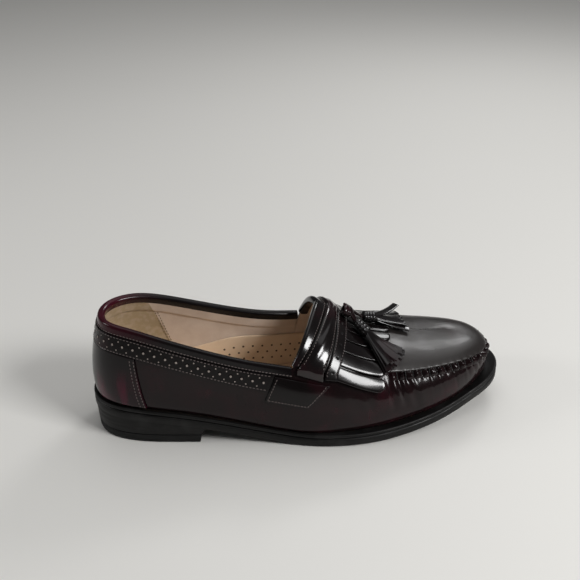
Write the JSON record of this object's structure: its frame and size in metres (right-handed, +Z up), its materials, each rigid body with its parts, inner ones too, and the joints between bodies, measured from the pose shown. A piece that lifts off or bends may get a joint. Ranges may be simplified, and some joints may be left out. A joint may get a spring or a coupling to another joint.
{
  "type": "kiltie tassel loafer",
  "caption": "Kiltie tassel loafer for the right foot, with a hand-sewn apron, brogued strip, instep strap, fringe, thong knot and tassels on a leather sole and stacked heel.",
  "frame": {"origin": "on the floor, under the middle of the shoe's bounding box", "axes": "+X from the heel to the toe, +Y to the inner side of the foot, +Z up"},
  "size_m": [0.2944, 0.1044, 0.0876],
  "materials": {
    "sole_edge": "satin black sole edge",
    "top_piece": "matt",
    "insole": "natural beige leather sock",
    "upper": "brush-off calf, highly polished",
    "oxblood": "brush-off calf, highly polished",
    "trim": "polished"
  },
  "bodies": {
    "root": {"outsole": "sole_edge", "welt": "sole_edge", "heel_base": "sole_edge", "heel_top_piece": "top_piece", "insole": "insole", "upper": "upper", "counter": "oxblood", "brogue_strip": "trim", "collar_binding": "oxblood", "throat_binding": "upper", "plug": "upper", "saddle_lateral": "upper", "saddle_medial": "upper", "instep_strap": "upper", "kiltie": "upper", "lace_knot": "trim", "tassel_lateral": "trim", "tassel_medial": "trim"}
  },
  "joints": []
}
